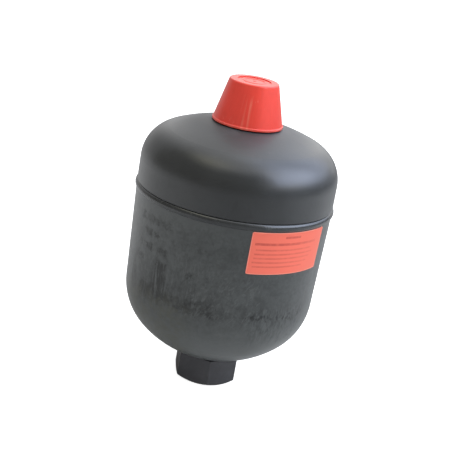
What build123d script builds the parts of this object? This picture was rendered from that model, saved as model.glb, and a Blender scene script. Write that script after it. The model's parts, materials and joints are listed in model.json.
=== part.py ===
"""Welded diaphragm accumulator, about 2.8 litres, in millimetres.

The pressure vessel is two deep-drawn steel shells joined by one girth weld. The fluid shell below carries a
hexagonal port, the gas shell above a round boss with the charging screw. Between them a stepped clamp ring
holds the bead of a moulded rubber diaphragm, whose centre button closes the port while the oil side is empty.
A push-on plastic cap covers the boss.

The frame has +Z up along the vessel's axis. Its origin is the centre of the fluid port's end face, and -Y
points at the middle of the label.
"""

from math import cos, hypot, pi, radians, sin, sqrt, tan
import os

from build123d import *

# ---------------------------------------------------------------- shells
shell_diameter = 167.0  # outside, at the girth weld
wall = 8.0
gas_skirt_length = 19.1  # straight wall above the weld groove
gas_knuckle = 31.0  # outside radius
gas_crown_edge = 23.2  # degrees from the axis, where the crown meets the knuckle
fluid_wall_length = 81.6  # drafted wall below the weld groove
fluid_draft = 1.8  # degrees, from the drawing of the cup
fluid_knuckle = 52.5  # outside radius
fluid_crown_edge = 44.0  # degrees from the axis, where the crown meets the knuckle

# ---------------------------------------------------------------- girth weld
groove_half_width = 3.3  # at the outer surface
groove_depth = 4.2
bead_height = 1.3  # above the shells' surface
bead_sink = 0.8  # how far the upper toe lies below the surface

# ---------------------------------------------------------------- fluid port
hexagon_flats = 50.0
hexagon_height = 25.0
hexagon_chamfer_angle = 30.0
hexagon_face_setback = 1.4  # from the flats in to the end face that the chamfer leaves
port_thread_radius = 12.06  # minor radius of a G 3/4 thread
port_thread_depth = 18.0
port_mouth_chamfer = 1.4
port_passage_radius = 9.0
port_shoulder = 3.0  # from the flats in to the spigot in the shell's hole
port_seat_wall = 4.0  # around the button's seat
weld_root_gap = 0.3
port_weld_leg = 3.9
port_weld_bulge = 0.7

# ---------------------------------------------------------------- diaphragm and its clamp ring
mouth_bore_depth = 15.3  # counterbore of each shell, from the joint
mouth_wall = 6.0  # what the counterbores leave of the wall
ring_clearance = 0.1
ring_thickness = 3.0
ring_inner_leg = 12.0  # length below the flange
ring_lip_radius = 1.2
bead_band_height = 7.7
bead_round = 1.5
rubber = 3.0
rubber_clearance = 0.3

# ---------------------------------------------------------------- valve button
button_thickness = 4.9
button_edge_chamfer = 0.6
button_nose_length = 2.2
button_nose_taper = 1.8
button_nose_clearance = 0.6
button_stem_radius = 5.0
button_head_radius = 7.0
button_head_height = 1.6
button_seat_depth = 5.0
button_side_clearance = 0.4
button_seat_clearance = 0.05
washer_radius = 14.0
washer_thickness = 1.5
stem_clearance = 0.3

# ---------------------------------------------------------------- gas boss and charging screw
boss_radius = 20.0
boss_height = 21.8  # above its shoulder
boss_spigot_radius = 17.0
boss_edge_chamfer = 1.0
boss_weld_leg = 3.5
boss_weld_bulge = 0.4
gas_thread_radius = 13.19  # minor radius of an M28 x 1.5 thread
gas_thread_depth = 12.0
gas_seat_step = 1.6  # from the thread in to the smooth seat
gas_seat_depth = 5.0
gas_passage_radius = 4.0
gas_passage_flare = 1.5
screw_recess = 3.0  # below the boss's rim
screw_clearance = 0.11
screw_end_clearance = 0.6
screw_nose_clearance = 0.15
screw_edge_chamfer = 1.0
key_flats = 6.0
key_depth = 6.0
seal_section_radius = 1.0
seal_groove_width = 2.8
seal_clearance = 0.05

# ---------------------------------------------------------------- protective cap
cap_gap = 1.2  # between the lip and the shell
cap_headroom = 13.1  # from the boss's rim to the cap's top
cap_base_room = 9.2  # from the boss's side to the cone's outside, above the lip
cap_top_room = 0.6  # the same at the cap's top
cap_lip_height = 1.4
cap_lip_overhang = 0.6
cap_wall = 1.8
cap_edge_round = 1.5
cap_roof = 2.4
cap_recess_radius = 14.0
cap_recess_depth = 0.7
cap_fit_clearance = 0.1
cap_stop_clearance = 0.1
cap_sleeve_wall = 1.6
cap_sleeve_start = 7.0  # above the cap's lower edge
cap_stop_wall = 2.0
cap_rib_count = 8
cap_rib_thickness = 1.5

# ---------------------------------------------------------------- label
label_width = 74.0
label_height = 36.0
label_thickness = 0.3
label_glue = 0.05
label_corner = 1.5
label_gap = 0.6  # below the weld bead


class Head:
    """Torispherical end of a shell, as curves of radius and height.

    A knuckle is tangent to the side wall, and a spherical crown centred on the axis is tangent to the knuckle.
    side is +1 for an upper end and -1 for a lower one. Every curve can be asked for at an inset from the outer
    surface, so that a wall keeps one thickness.
    """

    def __init__(self, radius, height, knuckle, crown_edge, side, draft=0.0):
        self.knuckle, self.side = knuckle, side
        self.normal = (cos(radians(draft)), side * sin(radians(draft)))
        self.knuckle_centre = (radius - knuckle * self.normal[0], height - knuckle * self.normal[1])
        self.crown = knuckle + self.knuckle_centre[0] / sin(radians(crown_edge))
        self.crown_height = self.knuckle_centre[1] - side * self.knuckle_centre[0] / tan(radians(crown_edge))

    def wall_point(self, inset=0.0):
        """Where the side wall ends and the knuckle begins."""
        arm = self.knuckle - inset
        return (self.knuckle_centre[0] + arm * self.normal[0], self.knuckle_centre[1] + arm * self.normal[1])

    def contact(self, inset=0.0):
        """Where the knuckle meets the crown."""
        span = self.crown - self.knuckle
        share = (self.crown - inset) / span
        rise = self.knuckle_centre[1] - self.crown_height
        return (self.knuckle_centre[0] * share, self.crown_height + rise * share)

    def crown_at(self, radius, inset=0.0):
        """The crown's point at a radius from the axis."""
        return (radius, self.crown_height + self.side * sqrt((self.crown - inset) ** 2 - radius**2))

    def arcs(self, end_radius, inset=0.0):
        """Knuckle and crown, from the wall in to end_radius."""
        start, joint, end = self.wall_point(inset), self.contact(inset), self.crown_at(end_radius, inset)
        return [
            centred_arc(self.knuckle_centre, self.knuckle - inset, start, joint),
            self.crown_arc(joint, end, inset),
        ]

    def crown_arc(self, start, end, inset=0.0):
        """The crown between two of its points."""
        return centred_arc((0.0, self.crown_height), self.crown - inset, start, end)


def centred_arc(centre, radius, start, end):
    """The shorter arc about centre from start to end."""
    toward = (start[0] + end[0] - 2 * centre[0], start[1] + end[1] - 2 * centre[1])
    scale = radius / hypot(*toward)
    middle = (centre[0] + toward[0] * scale, centre[1] + toward[1] * scale)
    return ThreePointArc(start, middle, end)


def outline(*pieces):
    """One closed face of radius and height, from points and edges in order, joined by straight lines."""
    edges, ends = [], []
    for piece in pieces:
        if isinstance(piece, tuple):
            ends.append((piece, piece))
        else:
            start, end = piece @ 0, piece @ 1
            ends.append(((start.X, start.Y), (end.X, end.Y)))
            edges.append(piece)
    for (_, here), (there, _) in zip(ends, ends[1:] + ends[:1]):
        if hypot(here[0] - there[0], here[1] - there[1]) > 1e-6:
            edges.append(Line(here, there))
    return make_face(edges)


def turned(face, angle=360.0):
    """A solid of revolution about Z from a face of radius and height."""
    return revolve(Plane.XZ * face, axis=Axis.Z, revolution_arc=angle)


def reversed_arcs(arcs):
    """The same curves, walked the other way."""
    return [ThreePointArc(arc @ 1, arc @ 0.5, arc @ 0) for arc in reversed(arcs)]


def upright(inner, outer, low, high):
    """A rectangle of radius and height, which turns into a straight sleeve, or a drum where inner is 0."""
    return outline((inner, low), (outer, low), (outer, high), (inner, high))


# ---------------------------------------------------------------- heights and radii that follow
shell_radius = shell_diameter / 2
mouth_radius = shell_radius - mouth_wall
port_spigot_radius = hexagon_flats / 2 - port_shoulder
port_seat_radius = port_spigot_radius - port_seat_wall
button_radius = port_seat_radius - button_side_clearance
gas_seat_radius = gas_thread_radius - gas_seat_step
cap_base_radius = boss_radius + cap_base_room
cap_top_radius = boss_radius + cap_top_room
cap_lip_radius = cap_base_radius + cap_lip_overhang
fluid_base_radius = shell_radius - fluid_wall_length * tan(radians(fluid_draft))


def fluid_head_at(height):
    """The lower end, with its tangent to the side wall at a height."""
    return Head(fluid_base_radius, height, fluid_knuckle, fluid_crown_edge, -1, fluid_draft)


# The crown meets the root of the port's weld just above the hexagon.
crown_drop = fluid_head_at(0.0).crown_at(port_spigot_radius)[1]
fluid_head = fluid_head_at(hexagon_height + weld_root_gap - crown_drop)
groove_low = fluid_head.wall_point()[1] + fluid_wall_length
joint_height = groove_low + groove_half_width
groove_high = joint_height + groove_half_width
gas_head = Head(shell_radius, groove_high + gas_skirt_length, gas_knuckle, gas_crown_edge, +1)
root_radius = shell_radius - groove_depth
ledge_height = joint_height - mouth_bore_depth
shoulder_height = joint_height + mouth_bore_depth
port_seat_height = fluid_head.crown_at(port_spigot_radius, wall)[1]
button_floor = port_seat_height - button_seat_depth
button_base = button_floor + button_seat_clearance
button_top = button_base + button_thickness
boss_shoulder = gas_head.crown_at(boss_spigot_radius)[1]
boss_top = boss_shoulder + boss_height
gas_thread_end = boss_top - gas_thread_depth
gas_seat_floor = gas_thread_end - gas_seat_depth
screw_top = boss_top - screw_recess
cap_low = gas_head.crown_at(cap_lip_radius)[1] + cap_gap
cap_high = boss_top + cap_headroom
cap_ceiling = cap_high - cap_roof
rubber_outside = wall + rubber_clearance
rubber_inside = rubber_outside + rubber
hub_low = fluid_head.crown_at(port_spigot_radius, rubber_outside)[1]
hub_high = fluid_head.crown_at(port_spigot_radius, rubber_inside)[1]


def fluid_wall_radius(height, inset=0.0):
    """Radius of the drafted wall at a height, at an inset square to it."""
    foot = fluid_head.wall_point(inset)
    return foot[0] + (height - foot[1]) * tan(radians(fluid_draft))


# ---------------------------------------------------------------- pieces of the pressure vessel
def make_fluid_shell():
    """Deep-drawn cup with a hole for the port. Its mouth is bored out, which leaves a ledge for the bead."""
    return turned(
        outline(
            (mouth_radius, joint_height),
            (root_radius, joint_height),
            (shell_radius, groove_low),
            *fluid_head.arcs(port_spigot_radius),
            *reversed_arcs(fluid_head.arcs(port_spigot_radius, wall)),
            (fluid_wall_radius(ledge_height, wall), ledge_height),
            (mouth_radius, ledge_height),
        )
    )


def make_gas_shell():
    """Shallow upper cup with a hole for the boss. Its bored mouth ends in a shoulder over the clamp ring."""
    return turned(
        outline(
            (mouth_radius, joint_height),
            (root_radius, joint_height),
            (shell_radius, groove_high),
            *gas_head.arcs(boss_spigot_radius),
            *reversed_arcs(gas_head.arcs(boss_spigot_radius, wall)),
            (shell_radius - wall, shoulder_height),
            (mouth_radius, shoulder_height),
        )
    )


def make_girth_weld():
    """Bead in the V groove between the shells. Its upper toe stops short of the surface."""
    flank = groove_half_width / groove_depth
    upper_toe = (shell_radius - bead_sink, joint_height + (groove_depth - bead_sink) * flank)
    lower_toe = (shell_radius, groove_low)
    crest = (shell_radius + bead_height, joint_height)
    return turned(outline((root_radius, joint_height), ThreePointArc(upper_toe, crest, lower_toe)))


def make_fluid_port():
    """Hexagonal connection, chamfered at its end face, with a spigot that fills the shell's hole."""
    corner_radius = hexagon_flats / sqrt(3)
    face_radius = hexagon_flats / 2 - hexagon_face_setback
    rise = tan(radians(hexagon_chamfer_angle))
    blank = turned(
        outline(
            (0.0, 0.0),
            (face_radius, 0.0),
            (corner_radius, (corner_radius - face_radius) * rise),
            (corner_radius, hexagon_height),
            (0.0, hexagon_height),
        )
    )
    prism = extrude(RegularPolygon(hexagon_flats / 2, 6, major_radius=False), hexagon_height)
    spigot = turned(upright(0.0, port_spigot_radius, hexagon_height / 2, port_seat_height))
    mouth = port_thread_radius + port_mouth_chamfer
    drill_cone = (port_thread_radius - port_passage_radius) / sqrt(3)
    hollow = turned(
        outline(
            (0.0, 0.0),
            (mouth, 0.0),
            (port_thread_radius, port_mouth_chamfer),
            (port_thread_radius, port_thread_depth),
            (port_passage_radius, port_thread_depth + drill_cone),
            (port_passage_radius, button_floor),
            (port_seat_radius, button_floor),
            (port_seat_radius, port_seat_height),
            (0.0, port_seat_height),
        )
    )
    return (blank & prism) + spigot - hollow


def make_port_weld():
    """Rounded weld in the wedge between the hexagon's top and the crown."""
    start = (hexagon_flats / 2, hexagon_height)
    toe = fluid_head.crown_at(start[0] + port_weld_leg)
    root = fluid_head.crown_at(port_spigot_radius)
    bulge = port_weld_bulge / sqrt(2)
    crest = ((start[0] + toe[0]) / 2 + bulge, (start[1] + toe[1]) / 2 - bulge)
    bead = ThreePointArc(start, crest, toe)
    return turned(outline((port_spigot_radius, hexagon_height), bead, fluid_head.crown_arc(toe, root)))


def make_gas_boss():
    """Turned boss with the charging thread, a smooth seat for the screw's seal and a narrow gas passage."""
    spigot_end = gas_head.crown_at(boss_spigot_radius, wall)[1]
    seat_cone = gas_thread_radius - gas_seat_radius
    body = outline(
        (gas_passage_radius + gas_passage_flare, spigot_end),
        (boss_spigot_radius, spigot_end),
        (boss_spigot_radius, boss_shoulder),
        (boss_radius, boss_shoulder),
        (boss_radius, boss_top - boss_edge_chamfer),
        (boss_radius - boss_edge_chamfer, boss_top),
        (gas_thread_radius + boss_edge_chamfer, boss_top),
        (gas_thread_radius, boss_top - boss_edge_chamfer),
        (gas_thread_radius, gas_thread_end + seat_cone),
        (gas_seat_radius, gas_thread_end),
        (gas_seat_radius, gas_seat_floor),
        (gas_passage_radius, gas_seat_floor),
        (gas_passage_radius, spigot_end + gas_passage_flare),
    )
    return turned(body)


def make_boss_weld():
    """Fillet weld around the foot of the boss."""
    toe = gas_head.crown_at(boss_radius + boss_weld_leg)
    foot = gas_head.crown_at(boss_radius)
    top = (boss_radius, boss_shoulder + boss_weld_leg)
    bulge = boss_weld_bulge / sqrt(2)
    crest = ((toe[0] + top[0]) / 2 + bulge, (toe[1] + top[1]) / 2 + bulge)
    return turned(outline(gas_head.crown_arc(foot, toe), ThreePointArc(toe, crest, top)))


# ---------------------------------------------------------------- the diaphragm and what holds it
bead_low = ledge_height + ring_clearance
bead_high = bead_low + bead_band_height
flange_low = bead_high + 2 * ring_clearance


def make_diaphragm():
    """Rubber cup that lies along the fluid shell, with a rounded bead at its rim and a flat hub."""
    bead_radius = mouth_radius - 2 * ring_clearance
    hole = button_stem_radius + stem_clearance
    profile = outline(
        (hole, hub_low),
        (port_spigot_radius, hub_low),
        *reversed_arcs(fluid_head.arcs(port_spigot_radius, rubber_outside)),
        (fluid_wall_radius(bead_low, rubber_outside), bead_low),
        (bead_radius, bead_low),
        (bead_radius, bead_high),
        (fluid_wall_radius(bead_high, rubber_inside), bead_high),
        *fluid_head.arcs(port_spigot_radius, rubber_inside),
        (hole, hub_high),
    )
    bead = [v for v in profile.vertices() if v.Y > bead_low - 0.01]
    corners = [v for v in bead if v.X > bead_radius - 0.01 or v.Y > bead_high - 0.01]
    return turned(fillet(corners, bead_round))


def make_clamp_ring():
    """Stepped ring: a leg inside the diaphragm's neck, a flange over the bead and a band behind the weld."""
    band_radius = mouth_radius - ring_clearance
    leg_radius = fluid_wall_radius(flange_low - ring_inner_leg, rubber_inside) - 2 * ring_clearance
    profile = outline(
        (leg_radius - ring_thickness, flange_low - ring_inner_leg),
        (leg_radius, flange_low - ring_inner_leg),
        (leg_radius, flange_low),
        (band_radius, flange_low),
        (band_radius, shoulder_height - ring_clearance),
        (band_radius - ring_thickness, shoulder_height - ring_clearance),
        (band_radius - ring_thickness, flange_low + ring_thickness),
        (leg_radius - ring_thickness, flange_low + ring_thickness),
    )
    lip = [v for v in profile.vertices() if v.Y < flange_low - ring_inner_leg + 0.01]
    return turned(fillet(lip, ring_lip_radius))


# ---------------------------------------------------------------- the button that closes the port
washer_base = hub_high + stem_clearance
washer_top = washer_base + washer_thickness


def make_valve_button():
    """Mushroom with a disc in the port's seat, a nose that centres it and a stem peened over the washer."""
    nose = port_passage_radius - button_nose_clearance
    head_base = washer_top + button_seat_clearance
    head_top = head_base + button_head_height
    head_radius = (button_head_radius**2 + button_head_height**2) / (2 * button_head_height)
    centre = (0.0, head_top - head_radius)
    head = centred_arc(centre, head_radius, (button_head_radius, head_base), (0.0, head_top))
    return turned(
        outline(
            (0.0, button_base - button_nose_length),
            (nose - button_nose_taper, button_base - button_nose_length),
            (nose, button_base),
            (button_radius - button_edge_chamfer, button_base),
            (button_radius, button_base + button_edge_chamfer),
            (button_radius, button_top - button_edge_chamfer),
            (button_radius - button_edge_chamfer, button_top),
            (button_stem_radius, button_top),
            (button_stem_radius, head_base),
            head,
        )
    )


def make_button_washer():
    """Flat washer that spreads the button's grip over the hub."""
    hole = button_stem_radius + stem_clearance / 2
    return turned(upright(hole, washer_radius, washer_base, washer_top))


# ---------------------------------------------------------------- the gas side's closure
def make_charging_screw():
    """Plug with a key socket on top and a grooved nose below its thread."""
    thread = gas_thread_radius - screw_clearance
    nose = gas_seat_radius - screw_nose_clearance
    thread_end = gas_thread_end + (gas_thread_radius - gas_seat_radius) + screw_clearance
    nose_end = gas_seat_floor + screw_end_clearance
    groove_middle = (nose_end + gas_thread_end) / 2
    groove = gas_seat_radius - 2 * (seal_section_radius + seal_clearance)
    body = turned(
        outline(
            (0.0, nose_end),
            (nose - seal_clearance, nose_end),
            (nose, nose_end + seal_clearance),
            (nose, groove_middle - seal_groove_width / 2),
            (groove, groove_middle - seal_groove_width / 2),
            (groove, groove_middle + seal_groove_width / 2),
            (nose, groove_middle + seal_groove_width / 2),
            (nose, thread_end),
            (thread, thread_end),
            (thread, screw_top - screw_edge_chamfer),
            (thread - screw_edge_chamfer, screw_top),
            (0.0, screw_top),
        )
    )
    key = extrude(RegularPolygon(key_flats / 2, 6, major_radius=False), key_depth)
    return body - Pos(0, 0, screw_top - key_depth) * key


def make_screw_seal():
    """O-ring in the screw's groove."""
    nose_end = gas_seat_floor + screw_end_clearance
    middle = (nose_end + gas_thread_end) / 2
    ring_radius = gas_seat_radius - seal_clearance - seal_section_radius
    return Pos(0, 0, middle) * Torus(ring_radius, seal_section_radius)


def make_protective_cap():
    """Conical push-on cap. Ribs back a sleeve that grips the boss, and a stop ring rests on its rim."""
    lip_top = cap_low + cap_lip_height
    lean = (cap_base_radius - cap_top_radius) / (cap_high - lip_top)
    sleeve_radius = boss_radius + cap_fit_clearance
    sleeve_base = cap_low + cap_sleeve_start
    stop_base = boss_top + cap_stop_clearance
    stop_radius = (gas_thread_radius + boss_radius + cap_stop_wall) / 2

    def cone(height, inset):
        return (cap_base_radius - (height - lip_top) * lean - inset, height)

    skin = outline(
        (0.0, cap_low),
        (cap_lip_radius, cap_low),
        (cap_lip_radius, lip_top),
        cone(lip_top + cap_lip_radius - cap_base_radius, 0.0),
        (cap_top_radius, cap_high),
        (cap_recess_radius, cap_high),
        (cap_recess_radius, cap_high - cap_recess_depth),
        (0.0, cap_high - cap_recess_depth),
    )
    rim = [v for v in skin.vertices() if v.Y > cap_high - 0.01 and v.X > cap_top_radius - 0.01]
    skin = fillet(rim, cap_edge_round)
    hollow = outline((0.0, cap_low), cone(cap_low, cap_wall), cone(cap_ceiling, cap_wall), (0.0, cap_ceiling))
    hollow -= upright(sleeve_radius, sleeve_radius + cap_sleeve_wall, sleeve_base, cap_ceiling)
    hollow -= upright(stop_radius - cap_stop_wall, stop_radius, stop_base, cap_ceiling)
    rib_start = sleeve_radius + cap_sleeve_wall / 2
    rib_zone = turned(
        outline(
            (rib_start, sleeve_base),
            cone(sleeve_base, cap_wall / 2),
            cone(stop_base, cap_wall / 2),
            (rib_start, stop_base),
        )
    )
    rib = Pos(cap_base_radius / 2, 0, (sleeve_base + stop_base) / 2) * Box(
        cap_base_radius, cap_rib_thickness, stop_base - sleeve_base
    )
    cap = turned(skin - hollow)
    for index in range(cap_rib_count):
        cap += Rot(0, 0, 360 * index / cap_rib_count) * rib & rib_zone
    return cap


def make_label():
    """Printed film on the drafted wall, with rounded corners, centred on -Y."""
    high = groove_low - label_gap
    low = high - label_height
    inner = label_glue
    outer = label_glue + label_thickness
    film = outline(
        (fluid_wall_radius(low, -inner), low),
        (fluid_wall_radius(low, -outer), low),
        (fluid_wall_radius(high, -outer), high),
        (fluid_wall_radius(high, -inner), high),
    )
    sweep = label_width / fluid_wall_radius((low + high) / 2) * 180 / pi
    band = Rot(0, 0, -90 - sweep / 2) * turned(film, sweep)
    corners = [e for e in band.edges() if e.length < 2 * label_thickness]
    return fillet(corners, label_corner)


PIECES = {
    "fluid_shell": make_fluid_shell,
    "gas_shell": make_gas_shell,
    "girth_weld": make_girth_weld,
    "fluid_port": make_fluid_port,
    "port_weld": make_port_weld,
    "gas_boss": make_gas_boss,
    "boss_weld": make_boss_weld,
    "clamp_ring": make_clamp_ring,
    "diaphragm": make_diaphragm,
    "valve_button": make_valve_button,
    "button_washer": make_button_washer,
    "charging_screw": make_charging_screw,
    "screw_seal": make_screw_seal,
    "protective_cap": make_protective_cap,
    "label": make_label,
}

os.makedirs("parts", exist_ok=True)
for name, make in PIECES.items():
    export_step(make(), f"parts/{name}.step")
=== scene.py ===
import json
import math

import bmesh
import bpy
from bpy.props import FloatProperty, FloatVectorProperty, PointerProperty
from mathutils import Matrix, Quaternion, Vector


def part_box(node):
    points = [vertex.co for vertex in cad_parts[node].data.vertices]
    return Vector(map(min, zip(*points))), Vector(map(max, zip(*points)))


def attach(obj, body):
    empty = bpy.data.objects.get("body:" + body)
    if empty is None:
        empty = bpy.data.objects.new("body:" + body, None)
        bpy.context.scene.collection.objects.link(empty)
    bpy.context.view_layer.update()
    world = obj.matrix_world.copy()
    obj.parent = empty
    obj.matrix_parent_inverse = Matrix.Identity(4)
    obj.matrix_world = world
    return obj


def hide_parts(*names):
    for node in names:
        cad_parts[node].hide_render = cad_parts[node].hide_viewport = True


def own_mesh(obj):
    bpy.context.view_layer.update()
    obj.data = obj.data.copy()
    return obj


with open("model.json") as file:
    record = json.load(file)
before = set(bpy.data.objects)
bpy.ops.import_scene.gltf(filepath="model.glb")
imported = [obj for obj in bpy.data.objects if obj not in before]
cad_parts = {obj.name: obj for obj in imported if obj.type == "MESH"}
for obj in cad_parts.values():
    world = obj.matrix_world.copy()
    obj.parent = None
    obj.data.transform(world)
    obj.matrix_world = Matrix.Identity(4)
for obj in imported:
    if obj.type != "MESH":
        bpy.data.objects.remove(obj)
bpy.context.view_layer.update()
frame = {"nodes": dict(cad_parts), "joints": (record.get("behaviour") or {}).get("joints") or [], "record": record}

bl_info = {
    "name": "Hydraulic accumulator",
    "version": (1, 0, 0),
    "blender": (4, 5, 0),
    "location": "3D View > Sidebar > Accumulator",
    "description": "Paint, welds, thread, cap and label of a welded hydraulic accumulator, and its studio",
    "category": "Object",
}

MM = 0.001

# bearings are degrees round the vessel from the middle of the label, positive towards +X
VIEW_BEARING = -38.8


def scaled(colour, factor):
    return tuple(channel * factor for channel in colour)


def tinted(colour, shares):
    """A colour with each channel multiplied by its own share."""
    return tuple(channel * share for channel, share in zip(colour, shares))


def slot_colour(slot):
    """The base colour that the record gives for a material slot."""
    for material in frame["record"]["materials"]:
        if material["slot"] == slot:
            return tuple(material["base_color"])
    raise ValueError(f"the record has no material slot named {slot}")


# ---------------------------------------------------------------------------
# node trees written as expressions


class Signal:
    """What one node gives to others. Arithmetic on it adds Math nodes."""

    def __init__(self, tree, socket):
        self.tree = tree
        self.socket = socket

    def output(self, name):
        return Signal(self.tree, self.socket.node.outputs[name])

    def math(self, operation, *others):
        return self.tree.math(operation, self, *others)

    def __add__(self, other):
        return self.math("ADD", other)

    def __radd__(self, other):
        return self.tree.math("ADD", other, self)

    def __sub__(self, other):
        return self.math("SUBTRACT", other)

    def __rsub__(self, other):
        return self.tree.math("SUBTRACT", other, self)

    def __mul__(self, other):
        return self.math("MULTIPLY", other)

    def __rmul__(self, other):
        return self.tree.math("MULTIPLY", other, self)

    def __truediv__(self, other):
        return self.math("DIVIDE", other)

    def __abs__(self):
        return self.math("ABSOLUTE")

    def larger(self, other):
        return self.math("MAXIMUM", other)

    def smaller(self, other):
        return self.math("MINIMUM", other)


class Tree:
    """A shader or geometry node tree that is filled one node at a time."""

    def __init__(self, node_tree):
        self.node_tree = node_tree
        node_tree.nodes.clear()

    def node(self, kind, settings=None, inputs=None, output=0):
        made = self.node_tree.nodes.new(kind)
        for name, value in (settings or {}).items():
            if name == "stops":
                self.set_stops(made.color_ramp, value)
            else:
                setattr(made, name, value)
        for name, value in (inputs or {}).items():
            if isinstance(value, Signal):
                self.node_tree.links.new(value.socket, made.inputs[name])
            else:
                made.inputs[name].default_value = value
        if not len(made.outputs):
            return made
        return Signal(self, made.outputs[output])

    def set_stops(self, ramp, stops):
        while len(ramp.elements) < len(stops):
            ramp.elements.new(0.5)
        for element, (position, colour) in zip(ramp.elements, stops):
            element.position = position
            element.color = (*colour, 1.0)

    def math(self, operation, *terms):
        return self.node("ShaderNodeMath", {"operation": operation}, dict(enumerate(terms)))

    def cosine(self, direction, towards):
        """The dot product of two directions."""
        terms = {0: direction, 1: towards}
        return self.node("ShaderNodeVectorMath", {"operation": "DOT_PRODUCT"}, terms, "Value")

    def rise(self, value, low, high, start=0.0, end=1.0):
        """A smooth step from start at low to end at high."""
        return self.node(
            "ShaderNodeMapRange",
            {"interpolation_type": "SMOOTHSTEP", "clamp": True},
            {"Value": value, "From Min": low, "From Max": high, "To Min": start, "To Max": end},
        )

    def band(self, value, low, high, edge):
        """1 between low and high, fading to 0 over an edge's width outside them."""
        return self.rise(value, low - edge, low) * self.rise(value, high, high + edge, 1.0, 0.0)

    def mix(self, factor, first, second):
        """The first colour where factor is 0, and the second where it is 1."""

        def colour(value):
            return value if isinstance(value, Signal) else (*value, 1.0)

        return self.node(
            "ShaderNodeMix",
            {"data_type": "RGBA", "clamp_factor": True},
            {0: factor, 6: colour(first), 7: colour(second)},
            output=2,
        )

    def ray_kinds(self):
        """1 for rays from the camera, and 1 for what mirror and glass rays see."""
        rays = self.node("ShaderNodeLightPath", output="Is Camera Ray")
        return rays, rays.output("Is Glossy Ray").larger(rays.output("Is Transmission Ray"))


class Finish(Tree):
    """A material of one Principled shader, with the coordinates that its patterns are laid out in."""

    def __init__(self, name):
        self.material = bpy.data.materials.new(name)
        self.material.use_nodes = True
        super().__init__(self.material.node_tree)
        self.place = self.node("ShaderNodeTexCoord", output="Object")
        axes = self.node("ShaderNodeSeparateXYZ", inputs={0: self.place})
        self.x, self.y, self.z = axes, axes.output("Y"), axes.output("Z")

    def bearing(self):
        """Degrees round the vessel from the middle of the label."""
        return self.x.math("ARCTAN2", 0.0 - self.y) * math.degrees(1.0)

    def radius(self):
        return (self.x * self.x + self.y * self.y).math("SQRT")

    def stretched(self, across, along, turn=0.0):
        """Object coordinates counted in cells of these sizes in metres, across and along the axis."""
        return self.node(
            "ShaderNodeMapping",
            {"vector_type": "POINT"},
            {0: self.place, "Rotation": (0.0, 0.0, turn), "Scale": (1 / across, 1 / across, 1 / along)},
        )

    def strokes(self, bearing, radius, across, along, lean=0.0):
        """Arc length and height counted in cells of these sizes, whose long side leans by this angle."""
        arc = bearing * math.radians(radius)
        wrapped = self.node("ShaderNodeCombineXYZ", inputs={0: arc, 1: self.z})
        return self.node(
            "ShaderNodeMapping",
            {"vector_type": "TEXTURE"},
            {0: wrapped, "Rotation": (0.0, 0.0, lean), "Scale": (across, along, 1.0)},
        )

    def noise(self, cells, detail=3.0, rough=0.5, twist=0.0):
        return self.node(
            "ShaderNodeTexNoise",
            {"noise_dimensions": "3D"},
            {"Vector": cells, "Scale": 1.0, "Detail": detail, "Roughness": rough, "Distortion": twist},
        )

    def cloud(self, size, detail=3.0, rough=0.5, twist=0.0, turn=0.0):
        """Noise whose patches are about this size in metres."""
        return self.noise(self.stretched(size, size, turn), detail, rough, twist)

    def spot(self, bearing, centre, half_width, height, half_height, soft=0.6):
        """A soft oval patch at a bearing and a height."""
        sideways = (bearing - centre) / half_width
        upward = (self.z - height) / half_height
        distance = (sideways * sideways + upward * upward).math("SQRT")
        return self.rise(distance, 1.0 - soft, 1.0 + soft, 1.0, 0.0)

    def bump(self, height, distance, strength=1.0, under=None):
        sockets = {"Height": height, "Distance": distance, "Strength": strength}
        if under is not None:
            sockets["Normal"] = under
        return self.node("ShaderNodeBump", inputs=sockets)

    def surface(self, colour, roughness, **sockets):
        """Closes the tree with the shader and returns the material."""
        if not isinstance(colour, Signal):
            colour = (*colour, 1.0)
        given = {"Base Color": colour, "Roughness": roughness}
        given.update({name.replace("_", " "): value for name, value in sockets.items()})
        shader = self.node("ShaderNodeBsdfPrincipled", inputs=given)
        self.node("ShaderNodeOutputMaterial", inputs={"Surface": shader})
        return self.material


def dress(node, material):
    """Gives a CAD node its finished material."""
    piece = frame["nodes"][node]
    for material_slot in piece.material_slots:
        material_slot.material = material


# ---------------------------------------------------------------------------
# meshes


def merged_copy(node):
    """A CAD node's mesh with its loose triangles joined, as a bmesh."""
    mesh = bmesh.new()
    mesh.from_mesh(frame["nodes"][node].data)
    bmesh.ops.remove_doubles(mesh, verts=mesh.verts, dist=1e-6)
    return mesh


def section(node):
    """The outline (radius, height) that a turned CAD node has in the half plane through +X."""
    mesh = merged_copy(node)
    cut = bmesh.ops.bisect_plane(
        mesh,
        geom=mesh.verts[:] + mesh.edges[:] + mesh.faces[:],
        plane_co=(0, 0, 0),
        plane_no=(0, 1, 0),
        dist=1e-7,
    )
    neighbours = {}
    for edge in cut["geom_cut"]:
        if not isinstance(edge, bmesh.types.BMEdge):
            continue
        first, second = edge.verts
        if min(first.co.x, second.co.x) < 1e-6:
            continue
        neighbours.setdefault(first, []).append(second)
        neighbours.setdefault(second, []).append(first)
    point = max(neighbours, key=lambda vert: vert.co.x)
    walked = [point]
    while True:
        onward = [vert for vert in neighbours[point] if vert not in walked]
        if not onward:
            break
        point = onward[0]
        walked.append(point)
    outline = [(vert.co.x, vert.co.z) for vert in walked]
    mesh.free()
    return outline


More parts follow.
